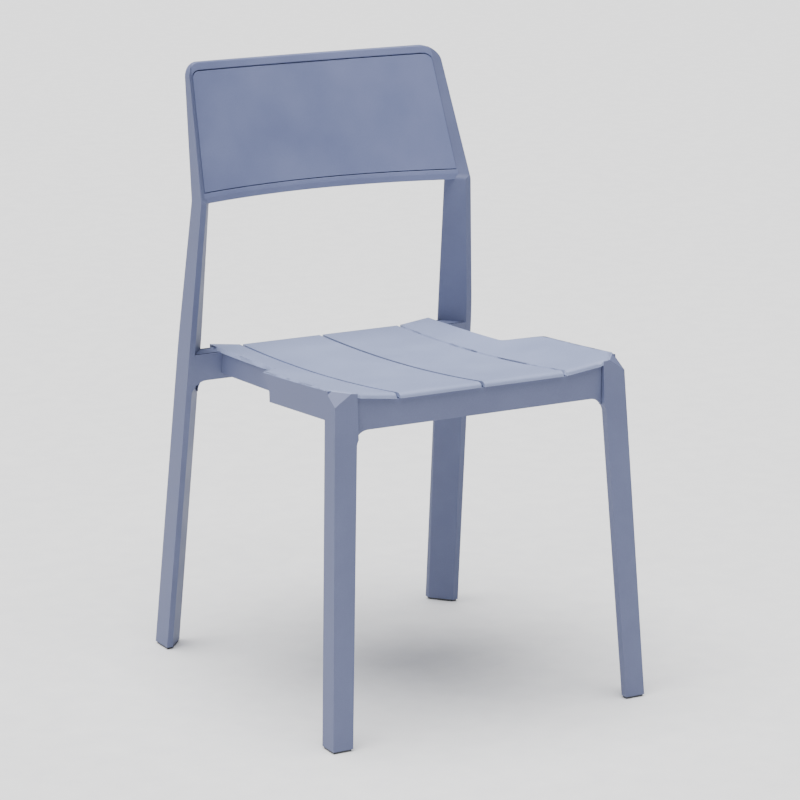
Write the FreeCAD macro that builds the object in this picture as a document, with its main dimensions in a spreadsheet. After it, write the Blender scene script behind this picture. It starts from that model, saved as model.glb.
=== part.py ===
import FreeCAD, Part
import os
import Sketcher

# Stacking chair of moulded polypropylene.  Millimetres, +Z up, the sitter faces -Y.
# Origin: on the floor, under the middle of the chair's outer box.

doc = FreeCAD.newDocument("StackingChair")

# ---------------------------------------------------------------- driving dimensions
DIMENSIONS = {
    # whole chair
    "wide": 460,                # over the front feet
    "deep": 517,                # front of the front feet to back of the rear feet
    "tall": 800,                # floor to the top of the back
    # heights of the leg stations
    "glide_height": 3,          # foot plug under each leg
    "glide_inset": 1.5,         # its outline inside the foot's
    "leg_top": 434,             # front leg, up to the foot of its corner facet
    "seat_station": 440,        # rear leg, where it is deepest
    "kink_station": 625,        # rear leg, where the back starts to lean
    # front leg section
    "front_foot_wide": 28,
    "front_foot_deep": 29,
    "front_top_wide": 31.5,
    "front_top_deep": 26.5,
    "front_leg_stub": 11,       # depth of its inner side before the bevel
    "front_leg_land": 9,        # width of its rear side outside the bevel
    "front_leg_top_x": 210,     # outer side at the top
    "front_leg_top_y": 229.5,   # front side at the top, ahead of the origin
    # rear leg section: outer side x, front side y, width, depth, bevel depth
    "rear_land": 8,             # width of its front side outside the bevel
    "rear_foot_x": 229,
    "rear_foot_wide": 32,
    "rear_foot_deep": 36.5,
    "rear_foot_bevel": 28,
    "rear_seat_x": 215,
    "rear_seat_y": 163.5,
    "rear_seat_wide": 33,
    "rear_seat_deep": 36,
    "rear_seat_bevel": 34,
    "rear_kink_x": 203.5,
    "rear_kink_y": 148.5,
    "rear_kink_wide": 25,
    "rear_kink_deep": 28.5,
    "rear_kink_bevel": 28,
    "rim_land": 1.5,            # the same land beside the back, where it is a narrow edge
    "rim_step": 2,              # height over which it narrows
    "rear_top_x": 190,
    "rear_top_y": 212.5,
    "rear_top_wide": 12,
    "rear_top_deep": 13,
    "rear_top_bevel": 12,
    # back
    "back_low": 622,            # underside of the bottom rail
    "back_inset": 3.5,          # its ends from the uprights' outer sides
    "back_low_y": 156.25,       # front face of the back at its ends, at back_low
    "back_low_sag": 35.75,      # how far its middle lies behind its ends, at back_low
    "back_high_y": 219.8,       # the same two at the top
    "back_high_sag": 25.2,
    "back_thick": 9,
    "back_bottom_rail": 15,
    "back_top_rail": 10,
    "back_corner": 22,
    "panel_gap": 1,
    # seat
    "seat_front_y": 229.5,      # front lip, ahead of the origin
    "seat_rear_y": 202,
    "seat_crest": 441,          # top of the front lip
    "seat_low": 418.5,          # top surface at the rear
    "seat_mid": 427.5,          # top surface under the thighs
    "seat_mid_y": 80,           # where it has that height, ahead of the origin
    "slat_thick": 6,
    "lip_long": 14,             # from the front edge back to the crest of the lip
    "lip_drop": 4,              # how far the lip falls over that length
    "slat_gap": 2.5,
    "slat_pitch": 121,
    "outer_slat_tilt": 7,       # degrees, the outer slats rise outward
    "outer_strip": 120,         # width of an outer slat before its plan is cut
    "hinge_lap": 10,            # how far that strip reaches inward of the slat's inner edge
    "plan_tall": 200,           # height of the solid that cuts the plan
    "room_high": 60,            # room kept free above a slat
    "room_out": 10,             # and beyond its outer edge
    "narrow_half": 168,         # half width of the rear part of the seat
    "wide_half": 210,           # half width of the front part of the seat
    "step_front_y": 34,         # the waist step, ahead of the origin
    "step_rear_y": -6,
    "facet_across": 24,         # the cut-off front corners, in plan
    "facet_along": 28,
    "facet_foot": 434,          # height of the facet's lowest point
    "facet_head": 450,          # height of its upper edge
    "stub_above": 8,            # what stands above that edge before the seat's room is cut
    # aprons and rails
    "apron_half": 178.5,        # seam between the front apron and the legs
    "apron_low": 400,
    "apron_high": 432,
    "apron_front_y": 225.5,
    "wall": 5,
    "flange": 22,
    "skirt_low": 405,           # lower edge at the rear end of the side skirts
    "skirt_rise": 9,            # how much higher it lies at the front leg
    "skirt_notch": 421,         # foot of the slanted end under the waist step
    "skirt_flare": 14,          # height of that slanted end
    "skirt_rear_y": 53,
    "skirt_lap": 2,             # how far the skirt reaches into the leg
    "tab_gap": 3,               # from the apron's lower edge up to its end tabs
    "rail_low": 383,
    "rail_high": 412,
    "rail_front_y": 169.5,
    "side_rail_low": 391,
    "side_rail_high": 415.8,
    "side_rail_rise": 4.5,      # how much higher its top lies at the waist
    "side_rail_x": 166,         # its outer face
    "rail_front_gap": -18,      # its front end from the waist step's rear corner
    "shoulder": 6,              # how much higher the cross rail's ends stand beside the seat
    # ribs and fixings
    "rib_thick": 4,
    "rib_deep": 16,
    "front_rib_y": 150,         # ahead of the origin
    "front_rib_top": 427,
    "middle_rib_y": 40,         # ahead of the origin
    "middle_rib_top": 418,
    "rear_rib_y": 75,
    "rear_rib_top": 412.9,
    "screw_pitch": 60,          # the two screws of an inner slat
    "outer_screw_x": 145,
    "pit_above_rail": 2,        # how far under the rail's top the screw pits start
    "hole_play": 0.3,
    "thread_play": 0.1,
    "screw_radius": 2.4,
    "screw_head_radius": 5,
    "screw_head": 3,
    "bolt_radius": 3,
    "bolt_head_radius": 6,
    "bolt_head": 4,
    "bolt_long": 20,
    "bolt_height": 416,         # height of the bolts' axis
}

sheet = doc.addObject("Spreadsheet::Sheet", "dims")
for row, (alias, size) in enumerate(DIMENSIONS.items(), start=1):
    sheet.set("A%d" % row, alias)
    sheet.set("B%d" % row, str(size))
    sheet.setAlias("B%d" % row, alias)
doc.recompute()


def cells(formula):
    """Write the sheet's name in front of each dimension that a formula uses."""
    words = formula.replace("(", " ( ").replace(")", " ) ").split()
    return " ".join("dims." + word if word in DIMENSIONS else word for word in words)


def number(formula):
    return float(sheet.evalExpression(cells(formula)))


def bind(thing, **formulas):
    """Bind properties to formulas; a double underscore stands for a dot."""
    for name, formula in formulas.items():
        thing.setExpression(name.replace("__", "."), cells(formula))


# ---------------------------------------------------------------- sketches and solids
def new_body(label):
    body = doc.addObject("PartDesign::Body", label)
    body.Label = label
    return body


def new_sketch(body, label, role, offset="0"):
    sketch = body.newObject("Sketcher::SketchObject", label)
    plane = next(f for f in body.Origin.OriginFeatures if f.Role == role)
    sketch.AttachmentSupport = [(plane, "")]
    sketch.MapMode = "FlatFace"
    bind(sketch, AttachmentOffset__Base__z=offset)
    return sketch


def pin_point(sketch, geometry, end, across, up):
    """Hold one end of a curve at a place given by two formulas."""
    for kind, formula in (("DistanceX", across), ("DistanceY", up)):
        index = sketch.addConstraint(Sketcher.Constraint(kind, -1, 1, geometry, end, number(formula)))
        sketch.setExpression("Constraints[%d]" % index, cells(formula))


def outline(sketch, points, bulges=None):
    """Closed outline through formula points; bulges maps a side's number to its arc's middle point."""
    bulges = bulges or {}
    places = [FreeCAD.Vector(number(a), number(b), 0) for a, b in points]
    count = len(places)
    for side in range(count):
        start, end = places[side], places[(side + 1) % count]
        if side in bulges:
            a, b = bulges[side]
            arc = Part.Arc(start, FreeCAD.Vector(number(a), number(b), 0), end)
            sketch.addGeometry(arc, False)
        else:
            sketch.addGeometry(Part.LineSegment(start, end), False)
    for side in range(count):
        if side in bulges:
            continue
        pin_point(sketch, side, 1, *points[side])
        pin_point(sketch, side, 2, *points[(side + 1) % count])
    return sketch


def loft(body, label, sections):
    feature = body.newObject("PartDesign::AdditiveLoft", label)
    feature.Profile = sections[0]
    feature.Sections = sections[1:]
    feature.Ruled = True
    return feature


def pad(body, label, sketch, length, both_ways=False):
    feature = body.newObject("PartDesign::Pad", label)
    feature.Profile = sketch
    feature.Midplane = both_ways
    bind(feature, Length=length)
    return feature


def box(label, low, high):
    """Part::Box between two corners given as formulas."""
    solid = doc.addObject("Part::Box", label)
    bind(solid, Length="( %s ) - ( %s )" % (high[0], low[0]),
         Width="( %s ) - ( %s )" % (high[1], low[1]),
         Height="( %s ) - ( %s )" % (high[2], low[2]),
         Placement__Base__x=low[0], Placement__Base__y=low[1], Placement__Base__z=low[2])
    return solid


def cylinder(label, radius, height, base, along_x=0):
    """Part::Cylinder from base, along +Z, or along X when along_x is 1 or -1."""
    solid = doc.addObject("Part::Cylinder", label)
    bind(solid, Radius=radius, Height=height,
         Placement__Base__x=base[0], Placement__Base__y=base[1], Placement__Base__z=base[2])
    if along_x:
        solid.Placement.Rotation = FreeCAD.Rotation(FreeCAD.Vector(0, along_x, 0), 90)
    return solid


def fuse(label, solids):
    joined = doc.addObject("Part::MultiFuse", label)
    joined.Shapes = solids
    joined.Refine = True
    return joined


def cut(label, base, tools):
    for count, tool in enumerate(tools, start=1):
        step = doc.addObject("Part::Cut", label if count == len(tools) else "%s_cut%d" % (label, count))
        step.Base = base
        step.Tool = tool
        base = step
    return base


def common(label, first, second):
    both = doc.addObject("Part::Common", label)
    both.Base = first
    both.Tool = second
    return both


NODES = []


def node(solid, name):
    """Name a finished sub-part and put it on the list to write."""
    solid.Label = name
    NODES.append(solid)
    return solid


SIDES = (("left", -1), ("right", 1))


# ---------------------------------------------------------------- seat slats
def seat_profile(body, label, offset, headroom):
    """Side view of a slat: dished, with a rolled front lip; headroom raises its upper side."""
    front, rear = "- seat_front_y", "seat_rear_y"
    crest = "lip_long - seat_front_y"
    top = [(front, "seat_crest - lip_drop + " + headroom), (crest, "seat_crest + " + headroom),
           (rear, "seat_low + " + headroom), (rear, "seat_low - slat_thick"),
           (crest, "seat_crest - slat_thick"), (front, "seat_crest - slat_thick - lip_drop / 2")]
    bulges = {1: ("- seat_mid_y", "seat_mid + " + headroom), 3: ("- seat_mid_y", "seat_mid - slat_thick")}
    return outline(new_sketch(body, label, "YZ_Plane", offset), top, bulges)


def slat_strip(label, middle, width, headroom="0"):
    body = new_body(label)
    pad(body, label + "_pad", seat_profile(body, label + "_side", middle, headroom), width,
        both_ways=True)
    return body


def seat_plan(label, sign, spill):
    """Plan of an outer slat: narrow at the rear, a waist step, wide in front, the corner cut off.
    spill carries the wide part and its cut corner further out."""
    body = new_body(label)
    inner = "slat_pitch + slat_gap / 2"
    wide = "wide_half + " + spill
    points = [(inner, "- seat_front_y - 1"), ("wide_half - facet_across", "- seat_front_y - 1"),
              ("wide_half - facet_across", "- seat_front_y"),
              (wide, "facet_along * ( 1 + %s / facet_across ) - seat_front_y" % spill),
              (wide, "- step_front_y"), ("narrow_half", "- step_rear_y"),
              ("narrow_half", "seat_rear_y + 1"), (inner, "seat_rear_y + 1")]
    sketch = outline(new_sketch(body, label + "_sketch", "XY_Plane", "rail_low"),
                     [("%d * ( %s )" % (sign, a), b) for a, b in points])
    pad(body, label + "_pad", sketch, "plan_tall")
    return body


def screw_pits(name, places):
    """Blind holes in the underside of a slat for its screws."""
    return [cylinder("%s_pit%d" % (name, count), "screw_radius", "slat_thick",
                     (x, "rear_seat_y + rear_seat_deep / 2", "rail_high - pit_above_rail"))
            for count, x in enumerate(places)]


def outer_slat(sign, label, headroom="0", spill="0"):
    """Outer slat, turned about its inner edge so that it rises outward."""
    middle = "%d * ( slat_pitch + outer_strip / 2 - hinge_lap )" % sign
    strip = slat_strip(label + "_strip", middle, "outer_strip", headroom)
    shaped = common(label, strip, seat_plan(label + "_plan", sign, spill))
    turn = FreeCAD.Rotation(FreeCAD.Vector(0, -sign, 0), number("outer_slat_tilt"))
    hinge = FreeCAD.Vector(sign * number("slat_pitch"), 0, number("seat_mid"))
    shaped.Placement = FreeCAD.Placement(hinge - turn.multVec(hinge), turn)
    return shaped


# ---------------------------------------------------------------- feet and legs
def front_section(x, y, wide, deep, sign, grow="0"):
    """Front leg in plan: outer side at x, front side at -y, bevelled toward the chair's middle."""
    inner = "( %s ) - ( %s )" % (x, wide)
    rear = "( %s ) - ( %s )" % (deep, y)
    points = [("( %s ) - ( %s )" % (x, grow), "( %s ) - ( %s )" % (grow, y)),
              ("%s + ( %s )" % (inner, grow), "( %s ) - ( %s )" % (grow, y)),
              ("%s + ( %s )" % (inner, grow), "front_leg_stub - ( %s )" % y),
              ("( %s ) - front_leg_land" % x, "%s - ( %s )" % (rear, grow)),
              ("( %s ) - ( %s )" % (x, grow), "%s - ( %s )" % (rear, grow))]
    return [("%d * ( %s )" % (sign, a), b) for a, b in points]


def rear_section(x, y, wide, deep, bevel, land, sign, grow="0"):
    """Rear leg in plan: outer side at x, front side at y, bevelled toward the chair's middle."""
    points = [("( %s ) - ( %s )" % (x, grow), "( %s ) + ( %s )" % (y, grow)),
              ("( %s ) - ( %s )" % (x, land), "( %s ) + ( %s )" % (y, grow)),
              ("( %s ) - ( %s ) + ( %s )" % (x, wide, grow), "( %s ) + ( %s )" % (y, bevel)),
              ("( %s ) - ( %s ) + ( %s )" % (x, wide, grow), "( %s ) + ( %s ) - ( %s )" % (y, deep, grow)),
              ("( %s ) - ( %s )" % (x, grow), "( %s ) + ( %s ) - ( %s )" % (y, deep, grow))]
    return [("%d * ( %s )" % (sign, a), b) for a, b in points]


FRONT_FOOT = ("wide / 2", "deep / 2", "front_foot_wide", "front_foot_deep")
FRONT_TOP = ("front_leg_top_x", "front_leg_top_y", "front_top_wide", "front_top_deep")
REAR_FOOT = ("rear_foot_x", "deep / 2 - rear_foot_deep", "rear_foot_wide", "rear_foot_deep",
             "rear_foot_bevel", "rear_land")


def facet_block(side, sign):
    """Block whose underside lies on the plane of the front corner's facet."""
    x, y = sign * number("front_leg_top_x"), -number("front_leg_top_y")
    apex = FreeCAD.Vector(x, y, number("facet_foot"))
    ahead = FreeCAD.Vector(x - sign * number("facet_across"), y, number("facet_head - 1"))
    behind = FreeCAD.Vector(x, y + number("facet_along"), number("facet_head"))
    normal = (ahead - apex).cross(behind - apex)
    if normal.z < 0:
        normal = -normal
    block = doc.addObject("Part::Box", "facet_block_" + side)
    bind(block, Length="4 * facet_along", Width="4 * facet_along", Height="facet_along")
    turn = FreeCAD.Rotation(FreeCAD.Vector(0, 0, 1), normal)
    middle = turn.multVec(FreeCAD.Vector(2 * number("facet_along"), 2 * number("facet_along"), 0))
    block.Placement = FreeCAD.Placement(apex - middle, turn)
    return block


def front_leg(side, sign):
    """Leg, corner facet and side skirt: one moulding."""
    body = new_body("front_%s_leg_post" % side)
    heights = (("foot", "glide_height", FRONT_FOOT), ("top", "leg_top", FRONT_TOP),
               ("corner", "facet_head + stub_above", FRONT_TOP))
    sections = [outline(new_sketch(body, "%s_f%s" % (label, side), "XY_Plane", height),
                        front_section(*sizes, sign)) for label, height, sizes in heights]
    loft(body, "post_f" + side, sections)

    skirt = new_body("skirt_" + side)
    wall = outline(new_sketch(skirt, "skirt_wall_" + side, "YZ_Plane",
                              "%d * ( front_leg_top_x - wall / 2 )" % sign),
                   [("front_top_deep - front_leg_top_y - skirt_lap", "skirt_low + skirt_rise"),
                    ("front_top_deep - front_leg_top_y - skirt_lap", "facet_head + stub_above"),
                    ("- step_front_y", "facet_head + stub_above"),
                    ("- step_front_y", "skirt_notch + skirt_flare"),
                    ("- skirt_rear_y", "skirt_notch"),
                    ("- skirt_rear_y", "skirt_low")])
    pad(skirt, "skirt_pad_" + side, wall, "wall", both_ways=True)
    bolt_hole = cylinder("bolt_hole_" + side, "bolt_radius + thread_play", "bolt_long + 2",
                         ("%d * ( apron_half - 1 )" % sign, "- apron_front_y + flange / 2",
                          "bolt_height"), sign)
    seat_room = outer_slat(sign, "seat_room_" + side, "room_high", "room_out")
    tools = [bolt_hole, facet_block(side, sign), seat_room]
    node(cut("front_%s_leg" % side, fuse("front_corner_" + side, [body, skirt]), tools),
         "front_%s_leg" % side)


def rear_leg(side, sign):
    """Leg and upright in one length, from the foot to the top of the back."""
    stations = [
        ("foot", "glide_height", REAR_FOOT),
        ("seat", "seat_station", ("rear_seat_x", "rear_seat_y", "rear_seat_wide",
                                  "rear_seat_deep", "rear_seat_bevel", "rear_land")),
        ("kink", "kink_station", ("rear_kink_x", "rear_kink_y", "rear_kink_wide",
                                  "rear_kink_deep", "rear_kink_bevel", "rear_land")),
        ("rim", "kink_station + rim_step", ("rear_kink_x", "rear_kink_y", "rear_kink_wide",
                                            "rear_kink_deep", "rear_kink_bevel", "rim_land")),
        ("top", "tall", ("rear_top_x", "rear_top_y", "rear_top_wide",
                         "rear_top_deep", "rear_top_bevel", "rim_land")),
    ]
    body = new_body("upright_" + side)
    sections = [outline(new_sketch(body, "%s_r%s" % (label, side), "XY_Plane", height),
                        rear_section(*sizes, sign)) for label, height, sizes in stations]
    loft(body, "post_r" + side, sections)
    return body


def glide(label, section):
    """Plug under a foot, a little inside the leg's outline."""
    body = new_body(label)
    pad(body, label + "_pad", outline(new_sketch(body, label + "_plan", "XY_Plane"), section),
        "glide_height")
    node(body, label)


def corner_rounder(side, sign):
    """What is cut off to round a top corner of the back: a block with a round bite out of it."""
    x, z = "rear_top_x - back_corner", "tall - back_corner"
    low = (x if sign > 0 else "- wide / 2", "0", z)
    high = ("wide / 2" if sign > 0 else "- ( %s )" % x, "deep / 2", "tall + 1")
    rod = cylinder("corner_rod_" + side, "back_corner", "deep / 2 + 2",
                   ("%d * ( %s )" % (sign, x), "deep / 2 + 1", z))
    rod.Placement.Rotation = FreeCAD.Rotation(FreeCAD.Vector(1, 0, 0), 90)
    return cut("corner_rounder_" + side, box("corner_block_" + side, low, high), [rod])


for side, sign in SIDES:
    front_leg(side, sign)
    glide("front_%s_glide" % side, front_section(*FRONT_FOOT, sign, "glide_inset"))
    glide("rear_%s_glide" % side, rear_section(*REAR_FOOT, sign, "glide_inset"))
uprights = {side: rear_leg(side, sign) for side, sign in SIDES}


# ---------------------------------------------------------------- back
def back_slab():
    """The whole curved sheet of the back, leaning from back_low_y to back_high_y."""
    body = new_body("back_slab")
    sections = []
    for label, height, x, y, sag in (("low", "back_low", "rear_kink_x", "back_low_y", "back_low_sag"),
                                     ("high", "tall", "rear_top_x", "back_high_y", "back_high_sag")):
        left, right, rear = "back_inset - " + x, x + " - back_inset", y + " + back_thick"
        points = [(left, y), (right, y), (right, rear), (left, rear)]
        bulges = {0: ("0", "%s + %s" % (y, sag)), 2: ("0", "%s + %s" % (rear, sag))}
        sections.append(outline(new_sketch(body, "slab_" + label, "XY_Plane", height), points, bulges))
    loft(body, "slab", sections)
    return body


def slice_of_back(slab, label, low, high):
    """The part of the back between two heights."""
    zone = box(label + "_zone", ("- wide / 2", "0", low), ("wide / 2", "deep / 2", high))
    return common(label, slab, zone)


rounders = {side: corner_rounder(side, sign) for side, sign in SIDES}
slab = back_slab()
panel_low = "back_low + back_bottom_rail + panel_gap"
panel_high = "tall - back_top_rail - panel_gap"
pieces = {
    "back_bottom_rail": ("back_low", "back_low + back_bottom_rail"),
    "back_panel": (panel_low, panel_high),
    "back_top_rail": ("tall - back_top_rail", "tall"),
}
for name, (low, high) in pieces.items():
    whole = slice_of_back(slab, name + "_slice", low, high)
    tools = list(uprights.values())
    if name == "back_top_rail":
        tools += list(rounders.values())
    node(cut(name, whole, tools), name)


# ---------------------------------------------------------------- rails and front apron
SCREW_X = ["%d * %s" % (sign, x) for sign in (-1, 1)
           for x in ("screw_pitch / 2", "screw_pitch * 3 / 2", "outer_screw_x")]


def rear_cross_rail():
    """Channel between the rear legs, open below, with a raised shoulder beside the seat at each end."""
    outer = box("rail_outer", ("rear_land - rear_seat_x", "rail_front_y", "rail_low"),
                ("rear_seat_x - rear_land", "rear_seat_y + rear_seat_deep", "rail_high"))
    shoulders = [box("shoulder_" + side, (low, "rail_front_y", "rail_high - wall"),
                     (high, "rear_seat_y + rear_seat_deep", "rail_high + shoulder"))
                 for side, low, high in (("left", "rear_land - rear_seat_x", "- narrow_half - panel_gap"),
                                         ("right", "narrow_half + panel_gap", "rear_seat_x - rear_land"))]
    hollow = box("rail_hollow", ("- rear_seat_x", "rail_front_y + wall", "rail_low - 1"),
                 ("rear_seat_x", "rear_seat_y + rear_seat_deep - wall", "rail_high - wall"))
    holes = [cylinder("rail_hole%d" % count, "screw_radius + hole_play", "wall + 2",
                      (x, "rear_seat_y + rear_seat_deep / 2", "rail_high - wall - 1"))
             for count, x in enumerate(SCREW_X)]
    return cut("rear_cross_rail", fuse("rail_all", [outer] + shoulders),
               [hollow] + holes + list(uprights.values()))


node(rear_cross_rail(), "rear_cross_rail")


def front_apron():
    """Front wall with a flange under the seat and a tab at each end against the leg."""
    wall = box("apron_wall", ("- apron_half", "- apron_front_y", "apron_low"),
               ("apron_half", "wall - apron_front_y", "apron_high"))
    flange = box("apron_flange", ("- apron_half", "- apron_front_y", "apron_high - wall"),
                 ("apron_half", "flange - apron_front_y", "apron_high"))
    tabs = [box("apron_tab_" + side, ("%s" % low, "- apron_front_y", "apron_low + tab_gap"),
                (high, "flange - apron_front_y", "apron_high"))
            for side, low, high in (("left", "- apron_half", "wall - apron_half"),
                                    ("right", "apron_half - wall", "apron_half"))]
    holes = [cylinder("tab_hole_" + side, "bolt_radius + hole_play", "wall + 2",
                      ("%d * ( apron_half - wall - 1 )" % sign, "- apron_front_y + flange / 2",
                       "bolt_height"), sign) for side, sign in SIDES]
    return cut("front_apron", fuse("apron_all", [wall, flange] + tabs), holes)


node(front_apron(), "front_apron")


def side_rail(side, sign):
    """Rail under the edge of the narrow part of the seat, from the waist to the cross rail."""
    name = "%s_side_rail" % side
    body = new_body(name)
    web_end = "rail_front_gap - step_rear_y"
    shape = outline(new_sketch(body, name + "_side", "YZ_Plane",
                               "%d * ( side_rail_x - wall / 2 )" % sign),
                    [(web_end, "side_rail_low + 6"), (web_end, "side_rail_high + side_rail_rise"),
                     ("rail_front_y", "side_rail_high"), ("rail_front_y", "side_rail_low")])
    pad(body, name + "_pad", shape, "wall", both_ways=True)
    node(body, name)


def waist_web(side, sign):
    """Wall under the waist step: upright below, then flaring rearward to the step's edge."""
    name = "%s_waist_web" % side
    body = new_body(name + "_wall")
    lower = (("front_leg_top_x", "- skirt_rear_y"), ("side_rail_x", "rail_front_gap - step_rear_y"))
    upper = (("front_leg_top_x", "- step_front_y"), ("side_rail_x", "- wall - step_rear_y"))
    sections = []
    for label, height, line in (("low", "skirt_low", lower), ("notch", "skirt_notch", lower),
                                ("flare", "skirt_notch + skirt_flare", upper),
                                ("top", "facet_head", upper)):
        (outer_x, outer_y), (inner_x, inner_y) = line
        points = [(outer_x + " - wall", outer_y), (outer_x, outer_y),
                  (inner_x, inner_y), (inner_x + " - wall", inner_y)]
        sections.append(outline(new_sketch(body, "%s_%s" % (name, label), "XY_Plane", height),
                                [("%d * ( %s )" % (sign, a), b) for a, b in points]))
    loft(body, name + "_loft", sections)
    node(cut(name, body, [outer_slat(sign, name + "_room", "room_high", "room_out")]), name)


for side, sign in SIDES:
    side_rail(side, sign)
    waist_web(side, sign)


# ---------------------------------------------------------------- seat
for side, sign in SIDES:
    name = "%s_inner_slat" % side
    strip = slat_strip(name + "_strip", "%d * slat_pitch / 2" % sign, "slat_pitch - slat_gap")
    pits = screw_pits(name, ["%d * screw_pitch / 2" % sign, "%d * screw_pitch * 3 / 2" % sign])
    node(cut(name, strip, pits), name)

    name = "%s_outer_slat" % side
    pit = screw_pits(name, ["%d * outer_screw_x" % sign])
    node(cut(name, outer_slat(sign, name + "_shape"), pit), name)


def seat_rib(name, y, top):
    """Rib across the seat under the slats, between the side rails."""
    reach = "side_rail_x - wall"
    node(box(name, ("- ( %s )" % reach, y, "%s - rib_deep" % top), (reach, y + " + rib_thick", top)), name)


seat_rib("front_seat_rib", "- front_rib_y", "front_rib_top")
seat_rib("middle_seat_rib", "- middle_rib_y", "middle_rib_top")
seat_rib("rear_seat_rib", "rear_rib_y", "rear_rib_top")


# ---------------------------------------------------------------- fixings
def screw(label, x):
    y = "rear_seat_y + rear_seat_deep / 2"
    head = cylinder(label + "_head", "screw_head_radius", "screw_head",
                    (x, y, "rail_high - wall - screw_head"))
    shank = cylinder(label + "_shank", "screw_radius", "wall + 3", (x, y, "rail_high - wall"))
    return fuse(label, [head, shank])


def bolt(label, sign):
    y, z = "- apron_front_y + flange / 2", "bolt_height"
    head = cylinder(label + "_head", "bolt_head_radius", "bolt_head",
                    ("%d * ( apron_half - wall - bolt_head )" % sign, y, z), sign)
    shank = cylinder(label + "_shank", "bolt_radius", "bolt_long",
                     ("%d * ( apron_half - wall )" % sign, y, z), sign)
    return fuse(label, [head, shank])


def group(label, solids):
    together = doc.addObject("Part::Compound", label)
    together.Links = solids
    return together


node(group("seat_screws", [screw("screw%d" % count, x) for count, x in enumerate(SCREW_X)]),
     "seat_screws")
node(group("leg_bolts", [bolt("bolt_" + side, sign) for side, sign in SIDES]), "leg_bolts")
for side, sign in SIDES:
    node(cut("rounded_upright_" + side, uprights[side], [rounders[side]]), "rear_%s_leg" % side)

# ---------------------------------------------------------------- check and write
doc.recompute()
for thing in doc.Objects:
    if "Invalid" in thing.State or "Error" in thing.State:
        raise RuntimeError("%s failed: %s" % (thing.Label, thing.State))
os.makedirs("parts", exist_ok=True)
for thing in NODES:
    shape = thing.Shape
    if shape.isNull() or not shape.isValid() or shape.Volume <= 0:
        raise RuntimeError("%s has no valid shape" % thing.Label)
    shape.exportStep("parts/%s.step" % thing.Label)
    print("%-20s %8.1f cm3  solids %d" % (thing.Label, shape.Volume / 1000, len(shape.Solids)))
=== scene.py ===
import math

import bmesh
import bpy
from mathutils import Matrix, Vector


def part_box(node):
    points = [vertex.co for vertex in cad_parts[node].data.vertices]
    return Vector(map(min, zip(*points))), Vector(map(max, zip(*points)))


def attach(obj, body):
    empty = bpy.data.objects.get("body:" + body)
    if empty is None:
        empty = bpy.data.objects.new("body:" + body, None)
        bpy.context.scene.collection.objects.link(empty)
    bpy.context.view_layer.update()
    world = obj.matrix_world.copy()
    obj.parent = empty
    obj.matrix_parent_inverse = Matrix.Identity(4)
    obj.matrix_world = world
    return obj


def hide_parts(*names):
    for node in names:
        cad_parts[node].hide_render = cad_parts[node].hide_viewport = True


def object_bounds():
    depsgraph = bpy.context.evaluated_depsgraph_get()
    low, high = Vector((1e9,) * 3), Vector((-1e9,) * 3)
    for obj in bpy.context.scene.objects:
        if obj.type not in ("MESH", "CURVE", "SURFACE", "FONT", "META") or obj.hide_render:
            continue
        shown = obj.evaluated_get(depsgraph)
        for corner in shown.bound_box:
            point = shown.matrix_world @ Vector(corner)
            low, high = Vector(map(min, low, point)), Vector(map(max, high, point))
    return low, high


# A stacking chair of moulded polypropylene: four wedge-section legs, a dished seat of four slats,
# and a low back that curves between the uprights.  Lengths are in millimetres until a mesh is made.
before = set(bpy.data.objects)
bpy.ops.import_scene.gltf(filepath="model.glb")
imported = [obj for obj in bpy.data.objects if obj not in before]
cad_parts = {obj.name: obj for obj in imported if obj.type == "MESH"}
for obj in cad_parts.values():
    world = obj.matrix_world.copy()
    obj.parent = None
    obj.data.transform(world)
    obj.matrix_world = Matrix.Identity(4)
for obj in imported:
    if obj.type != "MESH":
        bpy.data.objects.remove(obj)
cad_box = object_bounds()

MM = 0.001
SIDES = (("left", -1), ("right", 1))


def node_box(name):
    """Lowest and highest corner of a part of the frame, in millimetres."""
    low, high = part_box(name)
    return low / MM, high / MM


HALF_WIDE = cad_box[1].x / MM
HALF_DEEP = cad_box[1].y / MM
TALL = cad_box[1].z / MM
GLIDE = node_box("front_left_glide")[1].z
SEAT_FRONT = node_box("left_inner_slat")[0].y
SEAT_REAR = node_box("left_inner_slat")[1].y
BACK_LOW = node_box("back_bottom_rail")[0].z
RAIL_LOW = node_box("rear_cross_rail")[0].z
RAIL_REAR = node_box("rear_cross_rail")[1].y
APRON_LOW = node_box("front_apron")[0].z
APRON_HALF = node_box("front_apron")[1].x
APRON_FRONT = node_box("front_apron")[0].y


# ---------------------------------------------------------------- colours and materials
def srgb(code):
    """Linear RGBA of an sRGB hex colour."""
    parts = [int(code[i:i + 2], 16) / 255 for i in (1, 3, 5)]
    return [c / 12.92 if c <= 0.04045 else ((c + 0.055) / 1.055) ** 2.4 for c in parts] + [1.0]


def add(tree, kind, inputs=None, **settings):
    """Add a node, set its properties, and fill or link its inputs."""
    node = tree.nodes.new(kind)
    for name, value in settings.items():
        setattr(node, name, value)
    for name, value in (inputs or {}).items():
        if isinstance(value, bpy.types.NodeSocket):
            tree.links.new(value, node.inputs[name])
        else:
            node.inputs[name].default_value = value
    return node


def ramp(tree, factor, stops):
    """Colour ramp through (place, hex colour) stops."""
    node = add(tree, "ShaderNodeValToRGB", {"Fac": factor})
    for element, (place, code) in zip(node.color_ramp.elements, stops):
        element.position = place
        element.color = srgb(code)
    return node.outputs["Color"]


def new_material(name):
    material = bpy.data.materials.new(name)
    material.use_nodes = True
    tree = material.node_tree
    tree.nodes.clear()
    place = add(tree, "ShaderNodeTexCoord").outputs["Object"]
    return material, tree, place


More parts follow.
